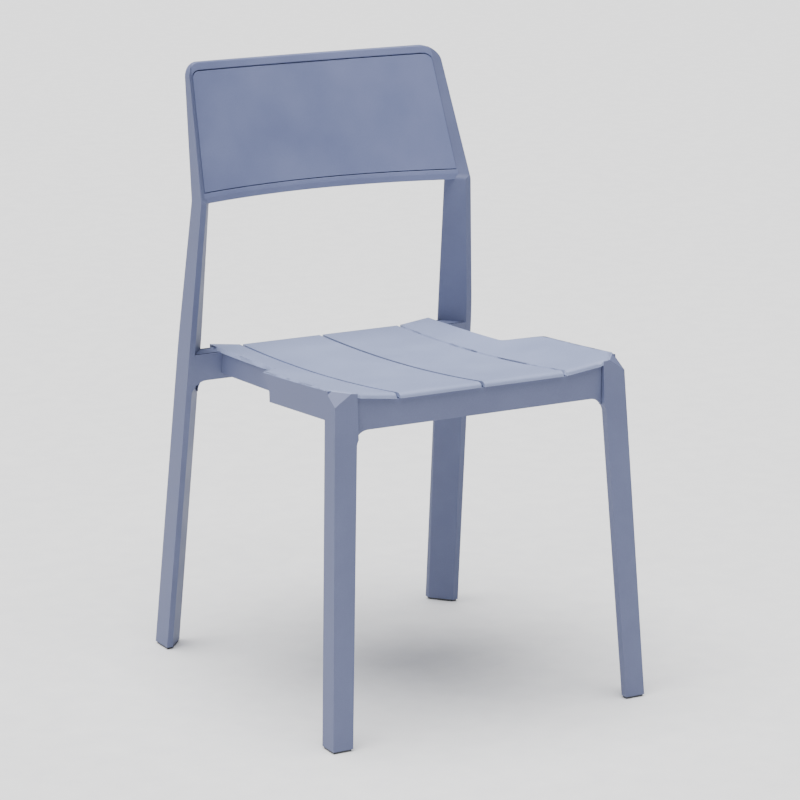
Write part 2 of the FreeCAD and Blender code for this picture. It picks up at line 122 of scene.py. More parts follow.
def set_surface(tree, bump, colour, roughness, **sockets):
    values = {"Base Color": colour, "Roughness": roughness, "Normal": bump}
    values.update(sockets)
    shader = add(tree, "ShaderNodeBsdfPrincipled", values)
    add(tree, "ShaderNodeOutputMaterial", {"Surface": shader.outputs["BSDF"]})


def moulded_polypropylene(name, dark, light, grain_mm, flow_mm):
    """Blue-grey polypropylene from a spark-eroded tool: a fine even grain that kills the gloss,
    faint clouds where the melt flowed, and pale rubbed specks."""
    material, tree, place = new_material(name)
    clouds = add(tree, "ShaderNodeTexNoise", {"Vector": place, "Scale": 1 / (flow_mm * MM), "Detail": 3.0,
                                              "Roughness": 0.55}).outputs["Fac"]
    # real grain is about 0.2 mm; drawn at grain_mm so that it shows
    grain = add(tree, "ShaderNodeTexNoise", {"Vector": place, "Scale": 1 / (grain_mm * MM), "Detail": 2.0,
                                             "Roughness": 0.7}).outputs["Fac"]
    pits = add(tree, "ShaderNodeTexVoronoi", {"Vector": place, "Scale": 1 / (1.7 * grain_mm * MM)},
               feature="F1").outputs["Distance"]
    colour = ramp(tree, clouds, ((0.32, dark), (0.68, light)))
    speck = add(tree, "ShaderNodeMapRange", {"Value": grain, "From Min": 0.35, "From Max": 0.75,
                                             "To Min": 0.94, "To Max": 1.06}).outputs["Result"]
    tinted = add(tree, "ShaderNodeMix", {"Factor": 1.0, "A": colour, "B": speck},
                 data_type="RGBA", blend_type="MULTIPLY")
    dull = add(tree, "ShaderNodeMapRange", {"Value": clouds, "From Min": 0.3, "From Max": 0.7,
                                            "To Min": 0.5, "To Max": 0.62}).outputs["Result"]
    surface = add(tree, "ShaderNodeMath", {0: grain, 1: pits}, operation="ADD").outputs["Value"]
    bump = add(tree, "ShaderNodeBump", {"Height": surface, "Strength": 0.22, "Distance": 0.15 * MM})
    set_surface(tree, bump.outputs["Normal"], tinted.outputs["Result"], dull,
                **{"IOR": 1.49, "Specular IOR Level": 0.42})
    return material


def glide_polyethylene():
    """Dark grey polyethylene foot plug, satin, scuffed pale where it slides."""
    material, tree, place = new_material("moulded_polyethylene_glide")
    scuff = add(tree, "ShaderNodeTexNoise", {"Vector": place, "Scale": 1 / (2.5 * MM), "Detail": 4.0})
    fine = add(tree, "ShaderNodeTexNoise", {"Vector": place, "Scale": 1 / (0.6 * MM)})
    colour = ramp(tree, scuff.outputs["Fac"], ((0.4, "#34373d"), (0.75, "#565a61")))
    bump = add(tree, "ShaderNodeBump", {"Height": fine.outputs["Fac"], "Strength": 0.3, "Distance": 0.1 * MM})
    set_surface(tree, bump.outputs["Normal"], colour, scuff.outputs["Fac"], IOR=1.51)
    return material


def zinc_plated_steel():
    """Bright zinc on steel screws: crystalline spangle, fine turning marks, slightly dull."""
    material, tree, place = new_material("zinc_plated_steel")
    spangle = add(tree, "ShaderNodeTexVoronoi", {"Vector": place, "Scale": 1 / (1.2 * MM)})
    lines = add(tree, "ShaderNodeTexNoise", {"Vector": place, "Scale": 1 / (0.5 * MM), "Detail": 3.0})
    colour = ramp(tree, spangle.outputs["Distance"], ((0.1, "#b6b9bb"), (0.8, "#d3d4d1")))
    dull = add(tree, "ShaderNodeMapRange", {"Value": lines.outputs["Fac"], "To Min": 0.25, "To Max": 0.45})
    bump = add(tree, "ShaderNodeBump", {"Height": lines.outputs["Fac"], "Strength": 0.2,
                                        "Distance": 0.05 * MM})
    set_surface(tree, bump.outputs["Normal"], colour, dull.outputs["Result"], Metallic=1.0)
    return material


def studio_paper():
    """Seamless white paper for the floor."""
    material, tree, place = new_material("studio_paper")
    fibre = add(tree, "ShaderNodeTexNoise", {"Vector": place, "Scale": 1 / (40 * MM), "Detail": 5.0})
    colour = ramp(tree, fibre.outputs["Fac"], ((0.3, "#e6e6e7"), (0.7, "#ececec")))
    bump = add(tree, "ShaderNodeBump", {"Height": fibre.outputs["Fac"], "Strength": 0.05, "Distance": MM})
    set_surface(tree, bump.outputs["Normal"], colour, 0.9)
    return material


# One plastic in three copies that differ only by painted light and shade: the seat is painted lighter for its
# lit top, the frame darker for its shaded sides, and the back a little lighter than the frame for its upward
# lean.
FRAME_PLASTIC_PAINTED_SHADE = moulded_polypropylene("moulded_polypropylene_frame_painted_shade", "#5f6686", "#656c8c", 0.9, 55)
SEAT_PLASTIC_PAINTED_LIGHT = moulded_polypropylene("moulded_polypropylene_seat_painted_light", "#8791b3", "#8d97b9", 0.8, 80)
BACK_PLASTIC_PAINTED_LIGHT = moulded_polypropylene("moulded_polypropylene_back_painted_light", "#676f93", "#70789c", 0.8, 90)
GLIDE_PLASTIC = glide_polyethylene()
ZINC = zinc_plated_steel()


# ---------------------------------------------------------------- mesh making
EDGE_WEIGHT = "bevel_weight_edge"
SHARP = math.radians(28)


def arc(centre, radius, start, end, steps):
    """Points on an arc in a plane, angles in degrees, ends included."""
    return [(centre[0] + radius * math.cos(math.radians(a)), centre[1] + radius * math.sin(math.radians(a)))
            for a in (start + (end - start) * i / steps for i in range(steps + 1))]


def close_loft(bm, rings, radii=None, widest=1.0):
    """Skin rings of points into a closed shell; radii gives the rounding of each lengthwise edge."""
    weight = bm.edges.layers.float.get(EDGE_WEIGHT) or bm.edges.layers.float.new(EDGE_WEIGHT)
    rows = [[bm.verts.new(Vector(p) * MM) for p in ring] for ring in rings]
    count = len(rows[0])
    for row, upper in zip(rows, rows[1:]):
        for i in range(count):
            bm.faces.new((row[i], row[(i + 1) % count], upper[(i + 1) % count], upper[i]))
            if radii:
                bm.edges.get((row[i], upper[i]))[weight] = radii[i] / widest
    bm.faces.new(list(reversed(rows[0])))
    bm.faces.new(rows[-1])


def plate(bm, outline, place_low, place_high):
    """Closed plate from a flat outline; the two functions turn an outline point into its two faces."""
    close_loft(bm, [[place_low(*p) for p in outline], [place_high(*p) for p in outline]])


def slab(bm, front, rear):
    """Closed slab between two grids of points with the same number of rows and columns."""
    grids = [[[bm.verts.new(Vector(p) * MM) for p in row] for row in grid] for grid in (front, rear)]
    rows, columns = len(front), len(front[0])
    for grid in grids:
        for j in range(rows - 1):
            for i in range(columns - 1):
                bm.faces.new((grid[j][i], grid[j][i + 1], grid[j + 1][i + 1], grid[j + 1][i]))
    one, two = grids
    for j in range(rows - 1):
        for i in (0, columns - 1):
            bm.faces.new((one[j][i], one[j + 1][i], two[j + 1][i], two[j][i]))
    for i in range(columns - 1):
        for j in (0, rows - 1):
            bm.faces.new((one[j][i], one[j][i + 1], two[j][i + 1], two[j][i]))


def slice_off(bm, point, normal):
    """Cut a closed shell by a plane, drop what lies on the normal's side and close the cut."""
    bmesh.ops.bisect_plane(bm, geom=bm.verts[:] + bm.edges[:] + bm.faces[:], dist=1e-7,
                           plane_co=Vector(point) * MM, plane_no=Vector(normal).normalized(),
                           clear_outer=True)
    bmesh.ops.holes_fill(bm, edges=[e for e in bm.edges if e.is_boundary], sides=0)


def slice_round(bm, sign):
    """Round an upper corner of the back."""
    for k in range(CORNER_STEPS):
        angle = math.radians(90 * (k + 0.5) / CORNER_STEPS)
        normal = (sign * math.cos(angle), 0, math.sin(angle))
        centre = (sign * CORNER_X, 0, TALL - CORNER_RADIUS)
        slice_off(bm, [c + CORNER_RADIUS * n for c, n in zip(centre, normal)], normal)


def make_piece(name, bm, material, nodes, soft=1.0, widest=None, segments=3):
    """Turn a shell into a settled piece with outward faces and rounded edges."""
    widest = widest or soft
    weight = bm.edges.layers.float.get(EDGE_WEIGHT) or bm.edges.layers.float.new(EDGE_WEIGHT)
    bmesh.ops.recalc_face_normals(bm, faces=bm.faces[:])
    for edge in bm.edges:
        sharp = len(edge.link_faces) == 2 and edge.calc_face_angle(0) > SHARP
        if sharp and edge[weight] == 0:
            edge[weight] = soft / widest
        elif not sharp:
            edge[weight] = 0
    mesh = bpy.data.meshes.new(name)
    bm.to_mesh(mesh)
    bm.free()
    mesh.polygons.foreach_set("use_smooth", [True] * len(mesh.polygons))
    piece = bpy.data.objects.new(name, mesh)
    bpy.context.scene.collection.objects.link(piece)
    rounding = piece.modifiers.new("rounded_edges", "BEVEL")
    rounding.limit_method = "WEIGHT"
    rounding.width = widest * MM
    rounding.segments = segments
    rounding.harden_normals = True
    settle(piece, material, nodes)


def settle(piece, material, nodes):
    """Give a piece its material and body, and hide the CAD nodes it stands for."""
    piece.data.materials.clear()
    piece.data.materials.append(material)
    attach(piece, "root")
    if nodes:
        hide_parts(*nodes)


# ---------------------------------------------------------------- the seat's surface
CREST_Y = SEAT_FRONT + 14       # where the front lip starts to fall
SEAT_MID_Y = -80
CREST, SEAT_MID_HIGH, SEAT_LOW = 441, 427.5, 418.5
SLAT_THICK = 6
SLAT_GAP = 5
SLAT_PITCH = 121                # from the middle slit to an outer slit
SLAT_SOFT = 0.9                 # rounding of the slats' edges
LIP_LONG, LIP_DROP = 9, 5.5
LIP_FADES = (180, 6)            # beside the legs the lip stays level: where, and over what width
RIM_WIDE, RIM_ROOT, RIM_DEEP = 2.6, 4, 6        # downturned rim along each slit
RIM_FRONT_Y, RIM_REAR_Y = SEAT_FRONT + 26, 158
LIP_UNDER = 0.45                # the slat's lower face stops following the lip at this share of it
RISE, RISE_MORE = 0.125, 0.055  # slope of the outer slats, and what is added at its peak
RISE_PEAK_Y, RISE_REACH = -10, 212
BEHIND_LEG = 0.4                # setback of a slat's front edge beside the leg
RIM_RUNOUT = 8                  # length over which a rim fades at its two ends


def outer_rise(y):
    """Slope of the outer slats: they rise outward, most of all beside the thighs."""
    return RISE + RISE_MORE * max(0.0, 1 - ((y - RISE_PEAK_Y) / RISE_REACH) ** 2)


def seat_profile(y):
    """Height of the seat's middle: a shallow dish, highest just behind the front lip."""
    first = (SEAT_MID_HIGH - CREST) / (SEAT_MID_Y - CREST_Y)
    second = ((SEAT_LOW - CREST) / (SEAT_REAR - CREST_Y) - first) / (SEAT_REAR - SEAT_MID_Y)
    return CREST + first * (y - CREST_Y) + second * (y - CREST_Y) * (y - SEAT_MID_Y)


def lip_fall(x, y):
    """How far the front lip has rolled down."""
    ahead = min(1.0, max(0.0, (SEAT_FRONT + LIP_LONG - y) / LIP_LONG))
    share = min(1.0, max(0.15, (LIP_FADES[0] - abs(x)) / LIP_FADES[1]))
    return LIP_DROP * share * (1 - math.sqrt(1 - ahead ** 2))


def seat_top(x, y):
    return seat_profile(y) - lip_fall(x, y) + outer_rise(y) * max(0.0, abs(x) - SLAT_PITCH)


WIDE_HALF, NARROW_HALF = 209, 168
STEP_FRONT_Y, STEP_REAR_Y = -34, 6
STEP_EASE = 5                   # the waist step's bends are rounded over this reach
FACET_X, FACET_Y = 186, SEAT_FRONT + 28
EDGE_LINE = [(SEAT_REAR, NARROW_HALF), (STEP_REAR_Y, NARROW_HALF), (STEP_FRONT_Y, WIDE_HALF),
             (SEAT_FRONT, WIDE_HALF)]


def along(line, place):
    """Value at a place on a line of (place, value) points that runs downward or upward."""
    for (a, one), (b, two) in zip(line, line[1:]):
        if min(a, b) <= place <= max(a, b):
            return one + (two - one) * (place - a) / (b - a)
    return line[0][1] if abs(place - line[0][0]) < abs(place - line[-1][0]) else line[-1][1]


def eased(line, place, reach, limits):
    """The same, averaged over a reach to both sides, so that bends are rounded."""
    reach = min(reach, abs(place - limits[0]), abs(place - limits[1]))
    samples = [along(line, place + reach * s / 3) for s in range(-3, 4)]
    return sum(samples) / len(samples)


def lip_stations():
    steps = 7
    return [SEAT_FRONT + LIP_LONG * (1 - math.sin(math.radians(90 * i / steps))) for i in range(1, steps + 1)]


def slat(inner, outer_at, extra_stations=(), rim_outside=True):
    """Slat from an inner edge at inner to an outer edge given by a function, dished along its length,
    with a downturned rim along each edge that borders a slit."""
    regular = [SEAT_REAR + (SEAT_FRONT + LIP_LONG - SEAT_REAR) * i / 36 for i in range(37)]
    regular = [y for y in regular if all(abs(y - extra) > 3 for extra in extra_stations)]
    stations = sorted(regular + list(extra_stations), reverse=True) + lip_stations()
    columns = 14
    sign = 1 if outer_at(0) > inner else -1
    top, bottom = [], []
    for y in stations:
        outer = outer_at(y)
        first, last = inner + sign * RIM_ROOT, outer - sign * RIM_ROOT * rim_outside
        xs = [inner, inner + sign * RIM_WIDE]
        xs += [first + (last - first) * i / columns for i in range(columns + 1)]
        rim = RIM_DEEP * min(1.0, max(0.0, min(y - RIM_FRONT_Y, RIM_REAR_Y - y) / RIM_RUNOUT))
        drops = [rim] * 2 + [0] * (columns + 1)
        if rim_outside:
            xs += [outer - sign * RIM_WIDE, outer]
            drops += [rim] * 2
        floor = max(y, SEAT_FRONT + LIP_LONG * LIP_UNDER)
        # beside the front leg the edge lies just behind the leg's face
        ys = [max(y, SEAT_FRONT + BEHIND_LEG) if abs(x) > APRON_HALF - 1 else y for x in xs]
        top.append([(x, v, seat_top(x, v)) for x, v in zip(xs, ys)])
        bottom.append([(x, v, seat_top(x, floor) - SLAT_THICK - drop) for x, v, drop in zip(xs, ys, drops)])
    bm = bmesh.new()
    slab(bm, top, bottom)
    return bm


def seat():
    half_gap = SLAT_GAP / 2
    for side, sign in SIDES:
        name = "%s_inner_slat" % side
        bm = slat(sign * half_gap, lambda y: sign * (SLAT_PITCH - half_gap))
        make_piece(name, bm, SEAT_PLASTIC_PAINTED_LIGHT, [name], soft=SLAT_SOFT)
        name = "%s_outer_slat" % side
        round_the_step = [STEP_REAR_Y + 10 - i * 4 for i in range(16)]
        bm = slat(sign * (SLAT_PITCH + half_gap),
                  lambda y: sign * eased(EDGE_LINE, y, STEP_EASE, (SEAT_REAR, SEAT_FRONT)),
                  round_the_step, False)
        apex, normal = facet_plane()
        apex = apex - normal.normalized() * 0.25        # a hair below the leg's own facet
        slice_off(bm, (sign * apex.x, apex.y, apex.z), (sign * normal.x, normal.y, normal.z))
        make_piece(name, bm, SEAT_PLASTIC_PAINTED_LIGHT, [name], soft=SLAT_SOFT)


# ---------------------------------------------------------------- legs
FRONT_TOP_X, FRONT_TOP_Z = 210, 434
FRONT_STUB_Z = 460              # the leg is lofted up to here, then cut by the facet and the seat
FRONT_FLAT, FRONT_LAND = 11, 9  # inner side ahead of the bevel, rear side outside it
SKIRT_THICK = 5
SKIRT_START = 414               # height of the skirt's lower edge at the leg
SKIRT_END = [(-53, 421), (-55, 418), (-57, 405)]        # y and z down its rear end
UNDER_SEAT = 1.2                # the leg's top below the seat's surface
SKIRT_GAP = 1.5                 # skirt's upper edge below the seat's surface
FILLET, FILLET_X, FILLET_Z = 20, 161.5, APRON_LOW - 20      # rounding under the apron's ends
# A front leg's station: height, then outer side x, front side ahead of the origin, width, depth.
FRONT_LEG = [(GLIDE, (HALF_WIDE, HALF_DEEP, 28, 29)), (FRONT_TOP_Z, (FRONT_TOP_X, -SEAT_FRONT, 31.5, 26.5)),
             (FRONT_STUB_Z, (FRONT_TOP_X - 1.2, -SEAT_FRONT, 31.5, 26.5))]
# A rear leg's station: height, then outer side x, front side y, width, depth, bevel depth, land width.
REAR_LEG = [(GLIDE, (229, HALF_DEEP - 36.5, 32, 36.5, 28, 8)), (440, (215, 163.5, 33, 36, 34, 8)),
            (625, (203.5, 148.5, 25, 28.5, 28, 8)), (628, (203.3, 149.6, 24.8, 28.2, 27.7, 1.5)),
            (TALL, (190, 212.5, 12, 13, 12, 1.5))]
UPRIGHT_FROM = 500              # below this the rear leg bends softly, above it sharply
SOFT_BEND, SHARP_BEND = 22, 2
LEG_RADIUS = 5.5                # widest rounding of a lengthwise edge, shared by front and rear legs
FRONT_RADII = (5.5, 1.6, 1.8, 1.8, 2.6)
REAR_RADII = (4.5, 1.8, 1.8, 1.8, 3)
PLUG_RINGS = ((0, 0.84), (0.8, 0.9), (GLIDE + 2, 0.9))      # height, and share of the leg's outline
CORNER_RADIUS = 22              # upper corners of the back
CORNER_X = 168
CORNER_STEPS = 9


def leg_sizes(stations, z, reach):
    """Section sizes at a height, with the bends between stations rounded over a reach."""
    count = len(stations[0][1])
    limits = (stations[0][0], stations[-1][0])
    return [eased([(place, sizes[i]) for place, sizes in stations], z, reach, limits) for i in range(count)]


def front_section(sign, z):
    """Wedge with its bevel toward the middle of the chair."""
    x, y, wide, deep = leg_sizes(FRONT_LEG, z, 4)
    inner = x - wide
    if z > FILLET_Z:
        inner = max(APRON_HALF, FILLET_X + math.sqrt(max(0.0, FILLET ** 2 - (z - FILLET_Z) ** 2)))
    points = [(x, -y), (inner, -y), (inner, FRONT_FLAT - y), (x - FRONT_LAND, deep - y), (x, deep - y)]
    return [(sign * a, b, z) for a, b in points]


def rear_section(sign, z):
    """The same, with its bevel on the front."""
    reach = SOFT_BEND if z < UPRIGHT_FROM else SHARP_BEND
    x, y, wide, deep, bevel, land = leg_sizes(REAR_LEG, z, reach)
    points = [(x, y), (x - land, y), (x - wide, y + bevel), (x - wide, y + deep), (x, y + deep)]
    return [(sign * a, b, z) for a, b in points]


def facet_plane():
    """Point and upward normal of the cut-off front corner, right side."""
    apex = Vector((FRONT_TOP_X, SEAT_FRONT, FRONT_TOP_Z))
    ahead = Vector((FACET_X, SEAT_FRONT, seat_top(FACET_X, SEAT_FRONT)))
    behind = Vector((WIDE_HALF, FACET_Y, seat_top(WIDE_HALF, FACET_Y)))
    normal = (ahead - apex).cross(behind - apex)
    return apex, normal if normal.z > 0 else -normal


def outer_side(z):
    """Outer face of the front leg and of the skirt that runs on from it."""
    return leg_sizes(FRONT_LEG, z, 0)[0]


def front_leg(side, sign):
    """Leg with its share of the fillet under the apron, corner facet and side skirt."""
    bm = bmesh.new()
    heights = [GLIDE, 60, 120, 180, 240, 300, 360, FILLET_Z, FILLET_Z + 2.5, FILLET_Z + 5, FILLET_Z + 7.5,
               FILLET_Z + 9.2, FILLET_Z + 10.5, 400, 425, FRONT_TOP_Z - 4, FRONT_TOP_Z, FRONT_TOP_Z + 4,
               FRONT_STUB_Z]
    close_loft(bm, [front_section(sign, z) for z in heights], FRONT_RADII, LEG_RADIUS)
    apex, normal = facet_plane()
    slice_off(bm, (sign * apex.x, apex.y, apex.z), (sign * normal.x, normal.y, normal.z))
    under = (sign * FRONT_TOP_X, SEAT_FRONT, seat_top(FRONT_TOP_X, SEAT_FRONT) - UNDER_SEAT)
    slice_off(bm, under, (-sign * outer_rise(SEAT_FRONT), 0.06, 1))

    body_rear = leg_sizes(FRONT_LEG, FRONT_TOP_Z, 0)[3] + SEAT_FRONT
    start = body_rear - 6                                   # a little inside the leg
    ys = [start + (STEP_FRONT_Y - start) * i / 16 for i in range(17)]
    roof = [(y, seat_top(WIDE_HALF, y) - SKIRT_GAP) for y in ys]
    outline = [(start, SKIRT_START)] + roof + SKIRT_END
    plate(bm, outline, lambda y, z: (sign * outer_side(z), y, z),
          lambda y, z: (sign * (outer_side(z) - SKIRT_THICK), y, z))
    make_piece("front_%s_leg" % side, bm, FRAME_PLASTIC_PAINTED_SHADE, ["front_%s_leg" % side],
               soft=0.9, widest=LEG_RADIUS, segments=4)


def rear_leg(side, sign):
    """Leg and upright in one: bent at the seat, kinked back under the backrest, rounded at the top."""
    bm = bmesh.new()
    heights = [GLIDE, 60, 120, 180, 240, 300, 350, 390, 405, 418, 429, 440, 451, 462, 475, 500, 530, 560,
               590, 610, 620, 622, 624, 626, 628, 630, 650, 680, 710, 740, 770, TALL]
    close_loft(bm, [rear_section(sign, z) for z in heights], REAR_RADII, LEG_RADIUS)
    slice_round(bm, sign)
    make_piece("rear_%s_leg" % side, bm, FRAME_PLASTIC_PAINTED_SHADE, ["rear_%s_leg" % side],
               soft=1.2, widest=LEG_RADIUS, segments=4)


def foot_plug(name, section):
    """Foot plug a little inside the leg's outline, with a chamfered tread."""
    middle = Vector([sum(p[i] for p in section) / len(section) for i in range(3)])
    rings = []
    for height, share in PLUG_RINGS:
        rings.append([(middle.x + (x - middle.x) * share, middle.y + (y - middle.y) * share, height)
                      for x, y, _ in section])
    bm = bmesh.new()
    close_loft(bm, rings)
    make_piece(name, bm, GLIDE_PLASTIC, [name], soft=0.4)


def legs():
    for side, sign in SIDES:
        front_leg(side, sign)
        rear_leg(side, sign)
        foot_plug("front_%s_glide" % side, front_section(sign, GLIDE))
        foot_plug("rear_%s_glide" % side, rear_section(sign, GLIDE))


# ---------------------------------------------------------------- back
BACK_SPAN, BACK_THICK = 200, 9
MIDDLE_LOW_Y, MIDDLE_HIGH_Y = 192, 245      # the back's middle, at its lower and upper edge
LOW_BOW, HIGH_BOW = 35.75, 29               # how far ahead of that the face lies at BACK_SPAN
TOP_DIP = 3.5                               # how much lower the top edge is in the middle
DIP_HALF, DIP_FROM = 190, 700               # the dip ends at this x and starts at this height
GROOVE = 1.3
PANEL_LOW, PANEL_HIGH, PANEL_RADIUS = 636, 789, 12
TONGUE_BACK, TONGUE_REACH = 4, 4            # tongue behind the groove: its setback and its overlap
TONGUE_SHORT = 0.2                          # the tongue ends this far ahead of the panel's rear
FOLD_HIGH, FOLD_SLOPE = 8, 0.24             # the lower rim's turned-under part
LOW_RIM_LAP = 4                             # how far the lower rim runs into the uprights


def back_front(x, z):
    """Front face of the back: it leans rearward and bows rearward between the uprights."""
    share = (z - BACK_LOW) / (TALL - BACK_LOW)
    low = MIDDLE_LOW_Y - LOW_BOW * (x / BACK_SPAN) ** 2
    high = MIDDLE_HIGH_Y - HIGH_BOW * (x / BACK_SPAN) ** 2
    return low + (high - low) * share


def back_point(x, z, behind=0):
    """Point on the back or a distance behind its face; toward the top the middle hangs a little."""
    dip = TOP_DIP * max(0.0, 1 - (x / DIP_HALF) ** 2) * max(0.0, (z - DIP_FROM) / (TALL - DIP_FROM))
    return (x, back_front(x, z) + behind, z - dip)


def upright_meets(z):
    """How far out the back's face reaches before it meets the bevel of the upright."""
    x, y, wide, _, bevel, land = leg_sizes(REAR_LEG, z, SHARP_BEND)
    low, high = x - wide, x - land
    for _ in range(24):
        middle = (low + high) / 2
        bevel_y = y + bevel * (x - land - middle) / (wide - land)
        low, high = (middle, high) if bevel_y > back_front(middle, z) else (low, middle)
    return low


def back_slab(bm, rows, depth_at, thick):
    """Slab of the back from rows of (half width, height)."""
    columns = 40
    grids = []
    for extra in (0, thick):
        grid = [[back_point(half * (2 * i / columns - 1), z, depth_at(z) + extra)
                 for i in range(columns + 1)] for half, z in rows]
        grids.append(grid)
    slab(bm, *grids)


def back_panel():
    """Panel with rounded upper corners, and a thinner tongue behind that closes the groove round it."""
    bm = bmesh.new()
    tongue_thick = BACK_THICK - TONGUE_BACK - TONGUE_SHORT
    for wider, offset, thick in ((0, 0, BACK_THICK), (TONGUE_REACH, TONGUE_BACK, tongue_thick)):
        low, high = PANEL_LOW + GROOVE / 2 - wider, PANEL_HIGH - GROOVE / 2 + wider
        radius = PANEL_RADIUS - GROOVE / 2 + wider
        straight = [low + (high - radius - low) * i / 14 for i in range(15)]
        rows = [(upright_meets(z) - GROOVE + wider, z) for z in straight]
        last = rows[-1][0] - radius
        for angle in (15, 30, 45, 58, 70, 80, 90):
            cosine, sine = math.cos(math.radians(angle)), math.sin(math.radians(angle))
            rows.append((last + radius * cosine, high - radius + radius * sine))
        back_slab(bm, rows, lambda z: offset, thick)
    make_piece("back_panel", bm, BACK_PLASTIC_PAINTED_LIGHT, ["back_panel"], soft=0.8)


def back_bottom_rail():
    """Lower rim of the back; its lower half turns under a little."""
    bm = bmesh.new()
    high, fold = PANEL_LOW - GROOVE / 2, BACK_LOW + FOLD_HIGH
    heights = [BACK_LOW, BACK_LOW + 1.5, BACK_LOW + 4, fold - 1.5, fold, fold + 1.5, high]
    rows = [(upright_meets(z) + LOW_RIM_LAP, z) for z in heights]
    back_slab(bm, rows, lambda z: FOLD_SLOPE * max(0, fold - z), BACK_THICK - 1)
    make_piece("back_bottom_rail", bm, BACK_PLASTIC_PAINTED_LIGHT, ["back_bottom_rail"], soft=1.3)


def back_top_rail():
    """Upper rim of the back, carried round both upper corners into the uprights."""
    bm = bmesh.new()
    centre_z = TALL - CORNER_RADIUS
    inner = PANEL_HIGH + GROOVE / 2 - centre_z
    side_x = upright_meets(centre_z) - CORNER_X
    front, rear = [], []
    places = [(-1, angle, None) for angle in range(0, 100, 10)]
    places += [(0, 90, CORNER_X * (i / 12 - 1)) for i in range(1, 24)]
    places += [(1, angle, None) for angle in range(90, -10, -10)]
    for share in (0, 0.25, 0.5, 0.75, 1):
        line = []
        for sign, angle, x in places:
            cosine, sine = math.cos(math.radians(angle)), math.sin(math.radians(angle))
            reach_x = side_x + (CORNER_RADIUS - side_x) * share
            reach_z = inner + (CORNER_RADIUS - inner) * share
            across_x = sign * (CORNER_X + reach_x * cosine) if x is None else x
            line.append((across_x, centre_z + reach_z * sine))
        front.append([back_point(a, b) for a, b in line])
        rear.append([back_point(a, b, BACK_THICK) for a, b in line])
    slab(bm, front, rear)
    make_piece("back_top_rail", bm, BACK_PLASTIC_PAINTED_LIGHT, ["back_top_rail"], soft=1.6)


# ---------------------------------------------------------------- apron and rails
WALL = 5
SEAM = 0.7                      # open joint between the apron's ends and the legs
APRON_UNDER = SLAT_THICK + 0.4  # apron's upper edge below the seat's surface
FLANGE_DROP = 7                 # flange's lower face below that edge
FLANGE_DEEP = 22                # flange and end tabs behind the apron's front
TAB_LOW = 403
RAIL_TOP, RAIL_SHOULDER = 412, 420
RAIL_LAND = 210                 # half width of the front wall, which runs onto the legs
REAR_WALL_REACH, REAR_WALL_RADIUS = 190, 20
RAIL_FILLET = 22
LAND_Y, LAND_Z, LAND_SLOPE = 163.5, 440, 0.1339     # the plane of the rear legs' front lands
BESIDE_SEAT = NARROW_HALF + 0.8
LEDGE_FRONT_Y, TOP_FRONT_Y = 168, 171
ROOT_DEEP = 31                  # depth of the fillet's root block


def across(y_front, y_rear):
    """The two faces of a plate that stands across the chair."""
    return lambda x, z: (x, y_front, z), lambda x, z: (x, y_rear, z)


def front_apron():
    """Front wall under the lip, its ends curved down to the legs, with a flange and end tabs behind."""
    bm = bmesh.new()
    seam_angle = math.degrees(math.acos((APRON_HALF - FILLET_X) / FILLET))
    right_low = arc((FILLET_X, FILLET_Z), FILLET, 90, seam_angle, 8)
    right_low[-1] = (APRON_HALF - SEAM, right_low[-1][1])
    left_low = [(-x, z) for x, z in reversed(right_low)]
    end = APRON_HALF - SEAM
    roof = [(x, seat_top(x, CREST_Y) - APRON_UNDER) for x in (end, SLAT_PITCH, -SLAT_PITCH, -end)]
    plate(bm, left_low + right_low + roof, *across(APRON_FRONT, APRON_FRONT + WALL))
    flange_low = CREST - APRON_UNDER - FLANGE_DROP
    flange = [(-APRON_HALF, flange_low), (APRON_HALF, flange_low), (APRON_HALF, flange_low + WALL),
              (-APRON_HALF, flange_low + WALL)]
    plate(bm, flange, *across(APRON_FRONT + WALL - 1, APRON_FRONT + FLANGE_DEEP))
    for sign in (-1, 1):
        tab = [(sign * (APRON_HALF - WALL), TAB_LOW), (sign * APRON_HALF, TAB_LOW),
               (sign * APRON_HALF, flange_low + 2), (sign * (APRON_HALF - WALL), flange_low + 2)]
        plate(bm, tab, *across(APRON_FRONT + 1, APRON_FRONT + FLANGE_DEEP))
    make_piece("front_apron", bm, FRAME_PLASTIC_PAINTED_SHADE, ["front_apron"], soft=1.0)


